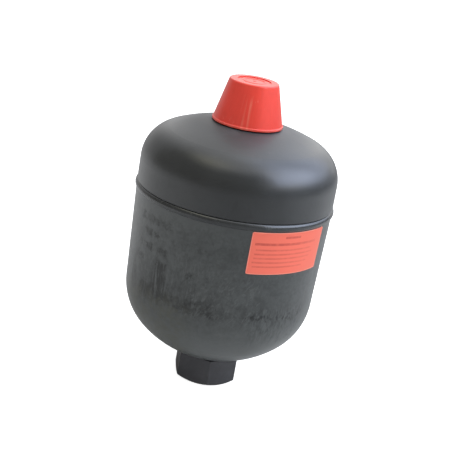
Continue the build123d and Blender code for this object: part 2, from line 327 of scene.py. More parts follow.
def finished(mesh, name, material, body, smooth_angle):
    """Turns a bmesh into a closed, outward-facing piece that rides on a body."""
    bmesh.ops.remove_doubles(mesh, verts=mesh.verts, dist=1e-7)
    bmesh.ops.recalc_face_normals(mesh, faces=mesh.faces)
    data = bpy.data.meshes.new(name)
    mesh.to_mesh(data)
    mesh.free()
    data.materials.clear()
    data.materials.append(material)
    data.shade_smooth()
    data.set_sharp_from_angle(angle=smooth_angle)
    piece = bpy.data.objects.new(name, data)
    bpy.context.scene.collection.objects.link(piece)
    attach(piece, body)
    return piece


def turned_ring_tree():
    """A geometry tree that turns a section about Z and presses waves into its exposed part.

    Waves that only count round the axis are the ripples of a weld; one wave round the axis with a
    pitch along it is a screw thread.
    """
    known = bpy.data.node_groups.get("Turned ring")
    if known:
        return known
    group = bpy.data.node_groups.new("Turned ring", "GeometryNodeTree")
    group.is_modifier = True
    sizes = (
        ("Segments", "NodeSocketInt", 256),
        ("Waves Around", "NodeSocketFloat", 0.0),
        ("Waves Along", "NodeSocketFloat", 0.0),
        ("Lag", "NodeSocketFloat", 0.0),
        ("Wave Height", "NodeSocketFloat", 0.0),
        ("Softness", "NodeSocketFloat", 1.0),
        ("Push Radial", "NodeSocketFloat", 1.0),
        ("Push Axial", "NodeSocketFloat", 0.0),
        ("Unevenness", "NodeSocketFloat", 0.0),
        ("Seed", "NodeSocketFloat", 0.0),
    )
    group.interface.new_socket("Geometry", in_out="INPUT", socket_type="NodeSocketGeometry")
    for name, kind, default in sizes:
        group.interface.new_socket(name, in_out="INPUT", socket_type=kind).default_value = default
    group.interface.new_socket("Material", in_out="INPUT", socket_type="NodeSocketMaterial")
    group.interface.new_socket("Geometry", in_out="OUTPUT", socket_type="NodeSocketGeometry")
    tree = Tree(group)
    given = tree.node("NodeGroupInput")
    profile = given.output("Geometry")
    segments = given.output("Segments")

    count = tree.node("GeometryNodeAttributeDomainSize", {"component": "MESH"}, {0: profile}, "Point Count")
    grid = tree.node(
        "GeometryNodeMeshGrid",
        inputs={"Size X": 1.0, "Size Y": 1.0, "Vertices X": segments + 1.0, "Vertices Y": count + 1.0},
    )
    across = tree.node("ShaderNodeSeparateXYZ", inputs={0: tree.node("GeometryNodeInputPosition")})
    step_round = ((across + 0.5) * segments).math("ROUND").math("FLOORED_MODULO", segments)
    step_along = ((across.output("Y") + 0.5) * count).math("ROUND").math("FLOORED_MODULO", count)

    def sampled(kind, value):
        return tree.node(
            "GeometryNodeSampleIndex",
            {"data_type": kind, "domain": "POINT", "clamp": True},
            {"Geometry": profile, "Value": value, "Index": step_along},
        )

    outline = tree.node(
        "ShaderNodeSeparateXYZ", inputs={0: sampled("FLOAT_VECTOR", tree.node("GeometryNodeInputPosition"))}
    )
    exposure = sampled(
        "FLOAT", tree.node("GeometryNodeInputNamedAttribute", {"data_type": "FLOAT"}, {"Name": "exposure"})
    )
    share = step_round / segments
    turn = share * math.tau
    height = outline.output("Z")
    phase = share * given.output("Waves Around") + height * given.output("Waves Along")
    phase = phase + given.output("Lag") * (1.0 - exposure)
    ridge = phase.math("PINGPONG", 0.5) * 2.0
    rounded = ridge * ridge * (3.0 - 2.0 * ridge)
    ridge = ridge + (rounded - ridge) * given.output("Softness")
    ahead, aside = turn.math("COSINE"), turn.math("SINE")
    drift_round = 7.0
    drift_at = tree.node(
        "ShaderNodeCombineXYZ",
        inputs={0: ahead * drift_round, 1: aside * drift_round, 2: given.output("Seed")},
    )
    drift = tree.node("ShaderNodeTexNoise", inputs={"Vector": drift_at, "Scale": 1.0, "Detail": 3.0})
    push = (ridge * given.output("Wave Height") + (drift - 0.5) * given.output("Unevenness")) * exposure
    reach = outline + push * given.output("Push Radial")
    placed = tree.node(
        "ShaderNodeCombineXYZ",
        inputs={0: reach * ahead, 1: reach * aside, 2: height + push * given.output("Push Axial")},
    )
    ring = tree.node("GeometryNodeSetPosition", inputs={"Geometry": grid, "Position": placed})
    ring = tree.node("GeometryNodeMergeByDistance", inputs={"Geometry": ring, "Distance": 1e-6})
    ring = tree.node("GeometryNodeRealizeInstances", inputs={"Geometry": ring})
    ring = tree.node("GeometryNodeSetMaterial", inputs={"Geometry": ring, "Material": given.output("Material")})
    tree.node("NodeGroupOutput", inputs={"Geometry": ring})
    return group


def turned_ring(name, outline, material, body, slot, exposed=None, **sizes):
    """Runs the turned ring tree on an outline and keeps the result as a plain piece.

    exposed gives each point of the outline its share of the waves, from 0 to 1. Without it there are none.
    """
    tree = turned_ring_tree()
    host_mesh = bpy.data.meshes.new(name + "_outline")
    edges = [(i, (i + 1) % len(outline)) for i in range(len(outline))]
    host_mesh.from_pydata([(r, 0.0, z) for r, z in outline], edges, [])
    exposure = host_mesh.attributes.new("exposure", "FLOAT", "POINT")
    exposure.data.foreach_set("value", [float(exposed(r, z)) if exposed else 0.0 for r, z in outline])
    host = bpy.data.objects.new(name + "_host", host_mesh)
    bpy.context.scene.collection.objects.link(host)
    modifier = host.modifiers.new("Turned ring", "NODES")
    modifier.node_group = tree
    sockets = {
        item.name: item.identifier
        for item in tree.interface.items_tree
        if item.item_type == "SOCKET" and item.in_out == "INPUT"
    }
    modifier[sockets["Material"]] = material
    for label, value in sizes.items():
        modifier[sockets[label.replace("_", " ")]] = value
    bpy.context.view_layer.update()
    evaluated = host.evaluated_get(bpy.context.evaluated_depsgraph_get())
    made = bpy.data.meshes.new_from_object(evaluated)
    host.modifiers.remove(modifier)
    bpy.data.objects.remove(host)
    if not made.polygons:
        raise RuntimeError(f"the turned ring tree gave {name} no faces")
    ring = bmesh.new()
    ring.from_mesh(made)
    bpy.data.meshes.remove(made)
    return finished(ring, name, material, body, math.radians(40.0))


# ---------------------------------------------------------------------------
# settings


def colour_setting(name, description, default):
    return FloatVectorProperty(
        name=name, description=description, subtype="COLOR", size=3, min=0.0, max=1.0, default=default
    )


def share_setting(name, description, default):
    return FloatProperty(
        name=name, description=description, subtype="FACTOR", min=0.0, max=1.0, default=default
    )


def length_setting(name, description, default, least=0.0):
    return FloatProperty(
        name=name, description=description, subtype="DISTANCE", unit="LENGTH", min=least, default=default
    )


def angle_setting(name, description, degrees):
    return FloatProperty(
        name=name, description=description, subtype="ANGLE", unit="ROTATION", default=math.radians(degrees)
    )


def power_setting(name, description, default):
    return FloatProperty(
        name=name, description=description, subtype="POWER", unit="POWER", min=0.0, default=default
    )


class ShellPaintSettings(bpy.types.PropertyGroup):
    """Paint and soiling of the two half shells."""

    colour: colour_setting(
        "Paint colour", "Colour of the satin coat on both half shells", scaled(slot_colour("shell_paint"), 0.5)
    )
    soil: colour_setting(
        "Stain colour", "Colour of the dark smudges and runs on the fluid shell", (0.009, 0.0095, 0.0095)
    )
    roughness: share_setting("Roughness", "Roughness of the clean paint", 0.3)
    staining: share_setting("Staining", "How strongly the fluid shell's smudges, runs and tide line show", 0.86)


class WeldSettings(bpy.types.PropertyGroup):
    """Ripples of the three weld beads."""

    ripple_pitch: length_setting(
        "Ripple pitch", "Distance between two ripples of the girth weld", 2.6 * MM, least=1.0 * MM
    )
    ripple_height: length_setting("Ripple height", "Height of a ripple of the girth weld", 0.1 * MM)
    unevenness: length_setting(
        "Unevenness", "How much a bead's thickness wanders round the vessel", 0.35 * MM
    )


class PortSettings(bpy.types.PropertyGroup):
    """Hexagonal fluid port and its pipe thread."""

    thread_pitch: length_setting(
        "Thread pitch", "Axial distance between two turns of the pipe thread", 1.814 * MM, least=0.5 * MM
    )
    thread_depth: length_setting("Thread depth", "Depth of the thread below the bore's wall", 1.16 * MM)
    edge_round: length_setting(
        "Edge rounding", "Width of the rounding that paint leaves on the hexagon's edges", 1.3 * MM
    )
    colour: colour_setting(
        "Port colour", "Colour of the port's black coat", scaled(slot_colour("port_paint"), 1.4)
    )


class CapSettings(bpy.types.PropertyGroup):
    """Moulded protective cap."""

    colour: colour_setting("Cap colour", "Colour of the moulded plastic", slot_colour("cap_plastic"))
    relief: length_setting("Relief height", "Height of the plain moulded ring in the cap's recess", 0.3 * MM)


class LabelSettings(bpy.types.PropertyGroup):
    """Plain film label with ruled bars."""

    film: colour_setting("Film colour", "Colour of the label's film", slot_colour("label_film"))
    ink: colour_setting("Bar colour", "Colour of the faded bars", (0.42, 0.05, 0.035))


class StudioSettings(bpy.types.PropertyGroup):
    """Camera, floor and lamps."""

    distance: length_setting(
        "Camera distance", "Distance from the camera to the point that it circles", 1.0129, least=0.1
    )
    elevation: angle_setting("Camera elevation", "Height of the camera above the horizon", 18.074)
    roll: angle_setting("Camera roll", "How far the camera leans about its own line of sight", 9.9186)
    lens: FloatProperty(
        name="Focal length",
        description="Focal length of the lens on a 36 mm sensor",
        subtype="DISTANCE_CAMERA",
        min=1.0,
        default=93.371,
    )
    window_power: power_setting(
        "Window lamp power", "Power of the large cool lamp on the label's side", 19.0
    )
    overhead_power: power_setting("Overhead lamp power", "Power of the lamp above the vessel", 22.0)
    floor_radius: length_setting("Floor radius", "Radius of the pale floor disc", 6.0, least=0.5)


# ---------------------------------------------------------------------------
# finishes


# linear colours of what lies on the coats or shows where they are worn, and of a painted olive reflection
DUST = (0.16, 0.165, 0.17)
PALE_RUB = (0.105, 0.112, 0.113)
OLIVE_REFLECTION = (0.066, 0.066, 0.049)
WORN_WELD = (0.13, 0.135, 0.14)
SCUFFED_PORT = (0.09, 0.09, 0.095)
DUSTY_PORT = (0.1, 0.1, 0.11)
SCUFFED_CAP = (0.85, 0.32, 0.24)
STREAKED_CAP = (0.9, 0.3, 0.2)
WORN_LIP = (0.9, 0.42, 0.3)
CUT_FILM_EDGE = (0.95, 0.42, 0.33)
RUBBER_BLOOM = (0.05, 0.05, 0.052)

# shares of a set colour's channels, for the chalky fluid shell, the cap, and the label, and a painted shade for
# the label's far end on the window lamp's side
CHALKING = (2.02, 2.05, 1.95)
CAP_SHADE = (1.1, 1.0, 1.0)
FADED_FILM = (0.96, 0.74, 0.79)
SHADED_FAR_END_OF_FILM = (0.88, 0.92, 0.88)


def satin_paint(finish, settings, tone, stain, rough_extra):
    """The shells' coat: a fine grain, slow clouds, and stains laid over it."""
    clouds = finish.cloud(0.045, 4.0, 0.55)
    grain = finish.cloud(0.0011, 2.0, 0.6)
    clean = finish.mix(finish.rise(clouds, 0.35, 0.68), scaled(tone, 0.9), scaled(tone, 1.1))
    colour = finish.mix(stain, clean, tuple(settings.soil))
    roughness = settings.roughness + (clouds - 0.5) * 0.08 + rough_extra
    peel = finish.cloud(0.0028, 2.0, 0.45)
    relief = finish.bump(grain, 0.00003, 0.35, under=finish.bump(peel, 0.00006, 0.5))
    return colour, roughness, relief


def gas_shell_paint(settings):
    """Clean satin coat, dusty on the crown, matt round the cap and sleeker on the label's side."""
    finish = Finish("gas_shell_paint")
    bearing = finish.bearing()
    specks = finish.rise(finish.cloud(0.0035, 2.0, 0.5), 0.68, 0.74)
    near_seam = finish.band(finish.z, 0.173, 0.179, 0.004)
    low_rub = finish.rise(finish.noise(finish.stretched(0.006, 0.02), 3.0, 0.6), 0.55, 0.75)
    stain = specks * near_seam * 0.35 + low_rub * finish.band(finish.z, 0.172, 0.188, 0.006) * 0.15
    dust = finish.rise(finish.cloud(0.02, 5.0, 0.65, 0.6), 0.5, 0.8) * finish.rise(finish.z, 0.2, 0.225)
    side = finish.rise(abs(bearing - 60.0), 30.0, 150.0)
    matt = finish.rise(finish.radius(), 0.038, 0.068, 0.2, 0.0)
    sleek = finish.rise(abs(bearing - 12.0), 15.0, 75.0, 1.0, 0.0) * finish.rise(finish.z, 0.185, 0.215)
    rough_extra = dust * 0.1 + side * 0.03 + matt - sleek * 0.05
    colour, roughness, relief = satin_paint(finish, settings, tuple(settings.colour), stain, rough_extra)
    colour = finish.mix(dust * 0.16, colour, DUST)
    # below this roughness the denoiser draws the reflections' outlines
    least_roughness = 0.285
    return finish.surface(colour, roughness.larger(least_roughness), Normal=relief)


# what is left of a wiped-off marking: each row's height in mm, then the bearing and weight of its dabs
WIPED_ROWS = (
    (153.6, ((-95.4, 1.0), (-90.0, 0.4), (-85.8, 0.9), (-81.8, 0.9), (-77.6, 0.6), (-73.2, 0.5), (-62.0, 0.25))),
    (142.2, ((-91.0, 0.8), (-86.8, 1.0), (-81.8, 1.0), (-68.0, 0.4), (-63.0, 0.4), (-53.0, 0.4), (-47.0, 0.3))),
    (130.3, ((-95.0, 0.7), (-89.2, 1.0), (-85.2, 1.0), (-78.0, 0.6), (-74.0, 0.7), (-66.0, 0.3), (-58.0, 0.2))),
    (119.0, ((-97.0, 0.5), (-93.0, 0.8), (-77.4, 1.0), (-73.8, 0.8), (-56.0, 0.7), (-46.0, 0.2))),
)


def wiped_marking(finish, bearing):
    """Ragged dabs in rows, 0 to 1."""
    first, last, half_width = -104.0, -40.0, 2.3
    place = (bearing + (finish.cloud(0.0038, 4.0, 0.75) - 0.5) * 13.0 - first) / (last - first)
    height = finish.z + (finish.cloud(0.0045, 4.0, 0.75, turn=0.7) - 0.5) * 0.012
    dabs = None
    for level, marks in WIPED_ROWS:
        stops = []
        for centre, weight in marks:
            for shift, value in ((-half_width, 0.0), (-0.4, weight), (0.4, weight), (half_width, 0.0)):
                at = (centre + shift - first) / (last - first)
                if stops and at <= stops[-1][0]:
                    stops[-1] = (stops[-1][0], (weight * 0.4,) * 3)
                    continue
                stops.append((at, (value,) * 3))
        row = finish.node("ShaderNodeValToRGB", {"stops": stops}, {0: place})
        row = row * finish.band(height, level * MM - 0.0014, level * MM + 0.0014, 0.0028)
        dabs = row if dabs is None else dabs.larger(row)
    return dabs


def fluid_shell_paint(settings):
    """Chalky coat with a wiped marking, runs, a tide line, mottling and pale rubbing."""
    finish = Finish("fluid_shell_paint")
    bearing, z = finish.bearing(), finish.z
    wall = 0.0815
    dabs = wiped_marking(finish, bearing) * finish.rise(finish.cloud(0.0021, 2.0, 0.6), 0.25, 0.5, 0.5, 1.0)

    # runs and rubbed strokes down the wall
    run = finish.noise(finish.strokes(bearing, wall, 0.0036, 0.03), 3.0, 0.6, 0.3)
    run = finish.rise(run, 0.36, 0.56)
    heavy = finish.spot(bearing, -76.0, 5.5, 0.103, 0.02, 0.8)
    heavy = heavy.larger(0.6 * finish.spot(bearing, -101.0, 3.0, 0.1, 0.014))
    heavy = heavy.larger(0.7 * finish.spot(bearing, -87.0, 4.0, 0.09, 0.012))
    runs = run * (heavy + 0.3 * finish.band(bearing, -100.0, -55.0, 6.0) * finish.band(z, 0.088, 0.118, 0.006))

    # ragged tide line low on the wall, breaking into single dabs on the label's side
    tide_height = z + (finish.cloud(0.009, 5.0, 0.7, 0.6) - 0.5) * 0.026
    tide = finish.band(tide_height, 0.0905, 0.0945, 0.007)
    tide = tide * finish.rise(finish.cloud(0.0065, 4.0, 0.68, 0.4), 0.3, 0.6)
    tide = tide * (finish.band(bearing, -90.0, -42.0, 6.0) + 0.55 * finish.band(bearing, -42.0, -14.0, 6.0))
    drops = finish.noise(finish.strokes(bearing, wall, 0.0034, 0.0052), 2.0, 0.5, 0.3)
    drops = finish.rise(drops, 0.5, 0.6) * finish.band(z, 0.0885, 0.0925, 0.003)
    drops = drops * finish.band(bearing, -20.0, 20.0, 4.0)
    streak = finish.noise(finish.strokes(bearing, wall, 0.0028, 0.009), 3.0, 0.62, 0.8)
    streaks = finish.band(bearing, -14.0, 20.0, 6.0) * finish.band(z, 0.066, 0.096, 0.006)
    right_runs = finish.rise(streak, 0.48, 0.62) * streaks

    # all-over mottling
    coarse = finish.rise(finish.cloud(0.0085, 4.0, 0.65, 0.5), 0.4, 0.64)
    fine = finish.rise(finish.cloud(0.0029, 3.0, 0.6, 0.3), 0.38, 0.64)
    on_wall = finish.band(z, 0.07, 0.155, 0.014) * finish.band(bearing, -120.0, 40.0, 20.0)
    mottle = (coarse * 0.2 + fine * 0.2) * (0.25 + 0.75 * on_wall)

    stain = dabs * 0.85 + runs * 0.6 + tide * 0.5 + drops * 0.6 + right_runs * 0.36 + mottle
    stain = stain.smaller(0.95) * settings.staining

    tone = tinted(settings.colour, CHALKING)
    colour, roughness, relief = satin_paint(finish, settings, tone, stain, stain * 0.12)
    # painted light: the wall's colour turns to a lighter copy of its tone towards the bottom, standing in for
    # light from the pale floor below
    colour = finish.mix(finish.rise(z, 0.06, 0.092, 0.45, 0.0), colour, scaled(tone, 1.55))

    # pale rubbing that leans towards the label, and short scrapes among the runs under it
    scrape = finish.noise(finish.strokes(bearing, wall, 0.0036, 0.0095, math.radians(-24.0)), 4.0, 0.65, 1.8)
    scraped = finish.rise(scrape, 0.5, 0.66) * finish.band(z, 0.088, 0.122, 0.01)
    scraped = scraped * finish.band(bearing, -54.0, -14.0, 9.0)
    rubbed = finish.rise(streak, 0.34, 0.48, 1.0, 0.0) * streaks
    thin = finish.rise(finish.noise(finish.strokes(bearing, wall, 0.0022, 0.016), 3.0, 0.6, 1.0), 0.54, 0.68)
    thin = thin * finish.band(z, 0.09, 0.13, 0.01) * finish.band(bearing, -98.0, -50.0, 10.0)
    pale = (scraped * 0.45 + rubbed * 0.35 + thin * 0.35).smaller(0.6)
    colour = finish.mix(pale * settings.staining, colour, PALE_RUB)

    # painted reflection: an olive tint on the left where the wall turns under, standing in for the olive
    # surroundings that it mirrors
    olive = finish.rise(finish.cloud(0.007, 5.0, 0.7, 0.5), 0.36, 0.64)
    olive = olive * finish.band(z, 0.035, 0.086, 0.016) * finish.band(bearing, -120.0, -62.0, 16.0)
    colour = finish.mix(olive * 0.5, colour, OLIVE_REFLECTION)
    return finish.surface(colour, roughness, Normal=relief, Specular_IOR_Level=0.42)


def weld_paint(settings):
    """The shells' coat over a weld, glossier and worn on its crests."""
    finish = Finish("weld_paint")
    worn = finish.rise(finish.cloud(0.004, 3.0, 0.6), 0.6, 0.8)
    clouds = finish.cloud(0.02, 3.0, 0.5)
    tone = tuple(settings.colour)
    base = finish.mix(clouds, scaled(tone, 0.85), scaled(tone, 1.2))
    colour = finish.mix(worn * 0.35, base, WORN_WELD)
    relief = finish.bump(finish.cloud(0.0012, 2.0, 0.5), 0.00004, 0.5)
    return finish.surface(colour, 0.2 + (clouds - 0.5) * 0.1, Normal=relief)


def port_paint(settings):
    """Near-black coat, scuffed on the hexagon's corners and faintly dusty on its flats."""
    finish = Finish("port_paint")
    clouds = finish.cloud(0.012, 4.0, 0.6)
    corners = finish.rise(finish.radius(), 0.0276, 0.0289)
    scuffs = finish.rise(finish.noise(finish.stretched(0.0016, 0.004), 4.0, 0.65), 0.55, 0.7)
    tone = tuple(settings.colour)
    base = finish.mix(clouds, scaled(tone, 0.75), scaled(tone, 1.35))
    colour = finish.mix(corners * scuffs * 0.4, base, SCUFFED_PORT)
    dust = finish.rise(finish.cloud(0.006, 4.0, 0.65, 0.5), 0.5, 0.75)
    colour = finish.mix(dust * 0.1, colour, DUSTY_PORT)
    relief = finish.bump(finish.cloud(0.0009, 2.0, 0.5), 0.00004, 0.5)
    return finish.surface(colour, 0.38 + (clouds - 0.5) * 0.16, Normal=relief)


def turned_steel(name, tone, roughness, groove):
    """Bare steel with the fine rings that a lathe tool leaves."""
    finish = Finish(name)
    rings = ((finish.radius() + finish.z) * (math.tau / groove)).math("SINE")
    breaks = finish.cloud(0.006, 3.0, 0.5)
    oil = finish.rise(finish.cloud(0.009, 4.0, 0.6, 0.6), 0.5, 0.75)
    colour = finish.mix(oil * 0.5, finish.mix(breaks, scaled(tone, 0.85), tone), scaled(tone, 0.55))
    relief = finish.bump(rings * breaks, 0.00001, 0.5)
    rough = roughness + (breaks - 0.5) * 0.14 + rings * 0.03
    return finish.surface(colour, rough, Metallic=1.0, Normal=relief)


def moulded_rubber():
    """Black rubber with a grey bloom."""
    finish = Finish("moulded_rubber")
    bloom = finish.rise(finish.cloud(0.014, 5.0, 0.65, 0.6), 0.45, 0.75)
    colour = finish.mix(bloom * 0.5, slot_colour("rubber"), RUBBER_BLOOM)
    relief = finish.bump(finish.cloud(0.0007, 2.0, 0.6), 0.00004, 0.6)
    return finish.surface(colour, 0.55 + bloom * 0.15, Normal=relief)


def cap_plastic(settings):
    """Semi-gloss red plastic with draw marks, handling scuffs, pale streaks and a worn lip."""
    finish = Finish("cap_plastic")
    tone = tinted(settings.colour, CAP_SHADE)
    lowest, highest = (corner.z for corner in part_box("protective_cap"))
    bearing, z = finish.bearing(), finish.z
    clouds = finish.cloud(0.016, 3.0, 0.5)
    draw = finish.noise(finish.stretched(0.0022, 0.06), 3.0, 0.6)
    base = finish.mix(clouds, scaled(tone, 0.93), scaled(tone, 1.06))
    base = finish.mix(finish.rise(draw, 0.45, 0.7) * 0.2, base, scaled(tone, 0.8))
    scuff = finish.noise(finish.stretched(0.0016, 0.03), 4.0, 0.65, 0.2)
    on_side = finish.band(z, lowest + 0.004, highest - 0.006, 0.006)
    patches = finish.rise(finish.cloud(0.011, 2.0, 0.5), 0.5, 0.62)
    scuffs = finish.rise(scuff, 0.58, 0.72) * on_side * patches
    colour = finish.mix(scuffs * 0.35, base, SCUFFED_CAP)

    # pale streaks that run up from the lip towards the left of the label
    foot_radius = 0.026
    streak = finish.noise(finish.strokes(bearing, foot_radius, 0.002, 0.06), 2.0, 0.5, 0.2)
    streak = finish.rise(streak, 0.44, 0.68) * finish.band(bearing, -51.0, -33.0, 4.0)
    streak = streak * finish.band(z, lowest + 0.001, lowest + 0.019, 0.009)
    colour = finish.mix(streak * 0.3, colour, STREAKED_CAP)

    worn = finish.rise(finish.cloud(0.006, 3.0, 0.6), 0.35, 0.6, 0.3, 1.0)
    lip = finish.band(z, lowest + 0.0004, lowest + 0.0012, 0.0003) * worn
    colour = finish.mix(lip * 0.15, colour, WORN_LIP)
    # painted shade: the top face gets a darker copy of the cap's tone, to hold back the overhead light there
    shaded_top = finish.rise(z, highest - 0.0008, highest - 0.0002)
    colour = finish.mix(shaded_top * 0.3, colour, scaled(tone, 0.7))
    relief = finish.bump(finish.cloud(0.0016, 2.0, 0.5), 0.00004, 0.5, under=finish.bump(draw, 0.00005, 0.4))
    roughness = 0.34 + (clouds - 0.5) * 0.1 + scuffs * 0.2
    return finish.surface(colour, roughness, Normal=relief)


# rows of the label: height below the top edge, half height and the share of the width each bar spans
LABEL_BARS = (
    (4.2, 0.75, 0.40, 0.60, 0.8),
    (10.0, 0.85, 0.05, 0.87, 0.75),
    (15.0, 0.5, 0.07, 0.80, 0.5),
    (18.7, 0.5, 0.06, 0.84, 0.5),
    (22.2, 0.5, 0.06, 0.80, 0.45),
    (25.8, 0.5, 0.05, 0.76, 0.45),
    (29.4, 0.5, 0.06, 0.70, 0.45),
)


def label_film(settings):
    """Coral film with faded plain bars and a paler cut edge."""
    finish = Finish("label_film")
    lowest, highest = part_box("label")
    wall_radius = -lowest.y
    half_angle = math.degrees(math.asin(highest.x / wall_radius))
    across = (finish.bearing() + half_angle) / (2 * half_angle)
    down = (highest.z - finish.z) / MM
    clouds = finish.cloud(0.012, 3.0, 0.5)
    film = tinted(settings.film, FADED_FILM)
    # painted shade: the film turns darker from its middle to its far end, which faces the window lamp, to hold
    # back that lamp's light
    base = finish.mix(finish.rise(across, 0.45, 1.0), film, tinted(film, SHADED_FAR_END_OF_FILM))
    base = finish.mix(clouds, base, scaled(film, 0.94))
    fading = 0.45 + 0.55 * finish.rise(across, 0.3, 0.95, 1.0, 0.0)
    patchy = finish.rise(finish.cloud(0.0035, 3.0, 0.6), 0.3, 0.62, 0.55, 1.0)
    ink = None
    for top, half_height, start, end, weight in LABEL_BARS:
        bar = finish.band(down, top - half_height, top + half_height, 0.35)
        bar = bar * finish.band(across, start, end, 0.006) * weight
        ink = bar if ink is None else ink.larger(bar)
    colour = finish.mix(ink * fading * patchy, base, tuple(settings.ink))
    half_length = (highest.z - lowest.z) / 2
    to_top = half_length - abs(finish.z - (highest.z + lowest.z) / 2)
    to_side = (0.5 - abs(across - 0.5)) * (highest.x - lowest.x)
    edge = finish.rise(to_top.smaller(to_side), 0.0002, 0.0008, 1.0, 0.0)
    colour = finish.mix(edge * 0.4, colour, CUT_FILM_EDGE)
    relief = finish.bump(finish.cloud(0.002, 3.0, 0.5), 0.00004, 0.4)
    return finish.surface(colour, 0.5 + (clouds - 0.5) * 0.12, Normal=relief)


# ---------------------------------------------------------------------------
# operators


class ACCUMULATOR_OT_paint_shells(bpy.types.Operator):
    """Coat both half shells and lay the fluid shell's stains over the coat"""

    bl_idname = "accumulator.paint_shells"
    bl_label = "Paint the shells"

    def execute(self, context):
        settings = context.scene.accumulator_shell
        dress("gas_shell", gas_shell_paint(settings))
        dress("fluid_shell", fluid_shell_paint(settings))
        return {"FINISHED"}


class ACCUMULATOR_OT_lay_welds(bpy.types.Operator):
    """Lay the girth, port and boss weld beads with their ripples"""

    bl_idname = "accumulator.lay_welds"
    bl_label = "Lay the welds"

    def execute(self, context):
        settings = context.scene.accumulator_weld
        paint = weld_paint(context.scene.accumulator_shell)
        # node, outward direction of the bead's crest, depth of its rippled crest, shares of the girth weld's
        # ripple height and pitch, lag across the bead
        beads = (
            ("girth_weld", (1.0, 0.0), 1.2 * MM, 1.0, 1.0, 1.4),
            ("port_weld", (0.42, -0.91), 0.9 * MM, 0.6, 0.8, 0.8),
            ("boss_weld", (0.75, 0.66), 0.9 * MM, 0.6, 0.8, 0.8),
        )
        steps_per_ripple = 8
        for seed, (node, (radial, axial), depth, share, pitch_share, lag) in enumerate(beads):
            outline = section(node)
            reach = max(r for r, z in outline)
            crest = max(r * radial + z * axial for r, z in outline)
            ripples = round(math.tau * reach / (settings.ripple_pitch * pitch_share))

            def exposed(r, z):
                below = crest - (r * radial + z * axial)
                return max(0.0, 1.0 - below / depth)

            bead = turned_ring(
                node + "_bead",
                outline,
                paint,
                "vessel",
                "weld_paint",
                exposed,
                Segments=ripples * steps_per_ripple,
                Waves_Around=float(ripples),
                Lag=lag,
                Wave_Height=-settings.ripple_height * share,
                Push_Radial=radial,
                Push_Axial=axial,
                Unevenness=settings.unevenness * share,
                Seed=float(seed),
            )
            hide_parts(node)
        return {"FINISHED"}


class ACCUMULATOR_OT_cut_port(bpy.types.Operator):
    """Round the hexagonal port's edges and cut its pipe thread"""

    bl_idname = "accumulator.cut_port"
    bl_label = "Cut the fluid port"

    def execute(self, context):
        settings = context.scene.accumulator_port
        paint = port_paint(settings)
        steel = turned_steel("bored_steel", (0.34, 0.34, 0.35), 0.34, 0.0005)
        lowest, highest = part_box("fluid_port")
        mount = next(m for m in frame["record"]["mounts"] if m["name"] == "fluid_port_thread")
        bore = mount["dims"]["r_mm"] * MM
        sleeve = bore + settings.thread_depth + 0.4 * MM
        tolerance = 0.02 * MM

        # the bore is opened out to the sleeve that holds the thread
        body = merged_copy("fluid_port")
        wall = [v.co.z for v in body.verts if abs(math.hypot(v.co.x, v.co.y) - bore) < tolerance]
        wall_foot, wall_top = min(wall), max(wall)
        for vert in body.verts:
            reach = math.hypot(vert.co.x, vert.co.y)
            if bore - tolerance < reach < sleeve and vert.co.z < wall_top + tolerance / 2:
                vert.co.x *= sleeve / reach
                vert.co.y *= sleeve / reach
        bmesh.ops.dissolve_limit(body, angle_limit=math.radians(0.8), verts=body.verts, edges=body.edges)
        flats = highest.y
        rim = [
            edge
            for edge in body.edges
            if len(edge.link_faces) == 2
            and edge.calc_face_angle(0.0) > math.radians(20.0)
            and min(math.hypot(v.co.x, v.co.y) for v in edge.verts) > flats * 0.97
        ]
        bmesh.ops.bevel(
            body,
            geom=rim,
            offset=settings.edge_round,
            offset_type="OFFSET",
            segments=5,
            profile=0.5,
            affect="EDGES",
            clamp_overlap=True,
        )
        port = finished(body, "port_hexagon", paint, "vessel", math.radians(30.0))
        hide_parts("fluid_port")

        pitch = settings.thread_pitch
        run_in = 1.2 * pitch
        steps_per_turn = 14
        count = int((wall_top - wall_foot) / pitch * steps_per_turn)
        outline = [(sleeve, lowest.z), (bore + (wall_foot - lowest.z), lowest.z)]
        outline += [(bore, wall_foot + (wall_top - wall_foot) * i / count) for i in range(count + 1)]
        outline += [(sleeve, wall_top)]

        def exposed(r, z):
            if r > bore + tolerance / 2:
                return 0.0
            return min(1.0, (z - wall_foot) / (0.4 * pitch), max(0.0, (wall_top - z - run_in) / pitch))

        thread = turned_ring(
            "port_thread",
            outline,
            steel,
            "vessel",
            "port_paint",
            exposed,
            Segments=96,
            Waves_Around=-1.0,
            Waves_Along=1.0 / pitch,
            Wave_Height=settings.thread_depth,
            Softness=0.35,
        )
        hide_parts("fluid_port")
        return {"FINISHED"}


class ACCUMULATOR_OT_finish_metal(bpy.types.Operator):
    """Give the bare and plated steel pieces their lathe marks"""

    bl_idname = "accumulator.finish_metal"
    bl_label = "Finish the bare metal"

    def execute(self, context):
        # slot whose colour the steel has, roughness, pitch of the lathe marks, nodes
        steels = (
            ("machined_steel", 0.36, 0.0006, ("gas_boss", "clamp_ring")),
            ("plated_steel", 0.3, 0.0005, ("charging_screw",)),
            ("valve_steel", 0.26, 0.0004, ("valve_button", "button_washer")),
        )
        for slot, roughness, groove, nodes in steels:
            steel = turned_steel(slot, slot_colour(slot), roughness, groove)
            for node in nodes:
                dress(node, steel)
        return {"FINISHED"}


class ACCUMULATOR_OT_mould_rubber(bpy.types.Operator):
    """Mould the separating diaphragm and its clamped bead, and dress the screw's seal"""

    bl_idname = "accumulator.mould_rubber"
    bl_label = "Mould the rubber"

    def execute(self, context):
        rubber = moulded_rubber()
        dress("screw_seal", rubber)
        travel = next(j for j in frame["joints"] if j["name"] == "valve_travel")
        clamped = travel["deforming_nodes"][0]["fixed_end_z_m"]
        cup = turned_ring("diaphragm_cup", section("diaphragm"), rubber, "vessel", "rubber", Segments=240)
        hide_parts("diaphragm")
        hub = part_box("diaphragm")[0].z
        lift = travel["range_m"][1]
        keep = (clamped - hub - lift) / (clamped - hub)
        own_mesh(cup)
        return {"FINISHED"}


